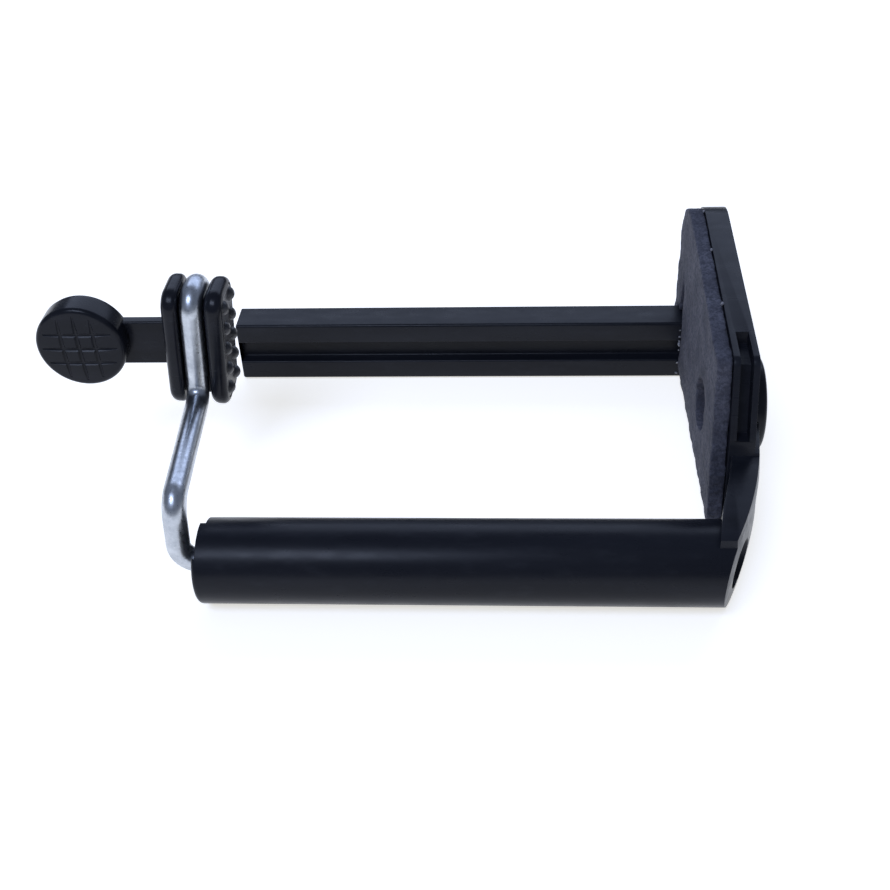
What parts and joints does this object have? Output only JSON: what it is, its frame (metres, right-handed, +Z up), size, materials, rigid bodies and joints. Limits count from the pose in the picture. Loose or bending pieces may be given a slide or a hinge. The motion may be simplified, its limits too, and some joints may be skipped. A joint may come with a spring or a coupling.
{
  "type": "phone clamp",
  "caption": "Spring phone clamp: a plastic frame with a foam-faced end plate, and a bent steel wire that slides in the frame's tube and carries a toothed jaw with a thumb disc.",
  "frame": {"origin": "centre of the whole object's box in X and Y, on the flat surface that the frame lies on", "axes": "+X along the clamp from the movable jaw to the fixed plate, +Y across the frame from the spring tube to the side bar, +Z up from the frame's back towards the jaws"},
  "size_m": [0.0962, 0.0608, 0.0314],
  "materials": {
    "frame_plastic": "fine satin moulding",
    "jaw_plastic": "glossy moulding",
    "foam": "soft closed-cell foam, matt",
    "pad_rubber": "firm moulded rubber",
    "adhesive_film": "clear double-sided film",
    "zinc_wire": "bright zinc plate",
    "spring_steel": "bright drawn",
    "brass": "turned",
    "nylon": "natural nylon"
  },
  "bodies": {
    "frame": {"spring_tube": "frame_plastic", "fixed_jaw_plate": "frame_plastic", "side_bar": "frame_plastic", "foam_pad": "foam", "foam_adhesive": "adhesive_film", "tripod_insert": "brass", "guide_bush": "nylon", "spring_seat_washer": "spring_steel", "compression_spring": "spring_steel"},
    "spring_carriage": {"thrust_washer": "spring_steel"},
    "wire_jaw": {"rod_retainer": "spring_steel", "wire_arm": "zinc_wire", "jaw_body": "jaw_plastic", "tooth_pad": "pad_rubber", "pull_tab": "jaw_plastic"}
  },
  "joints": [
    {"name": "jaw_slide", "type": "slide", "parent": "frame", "child": "spring_carriage", "axis": [-1, 0, 0], "range_m": [0, 0.028], "stiffness_N_per_m": 350, "springref_m": -0.025, "deforming": ["compression_spring"]},
    {"name": "arm_swing", "type": "hinge", "parent": "spring_carriage", "child": "wire_jaw", "pos_m": [-0.02465, -0.02505, 0.0054], "axis": [1, 0, 0], "range_deg": [-28, 135]}
  ]
}
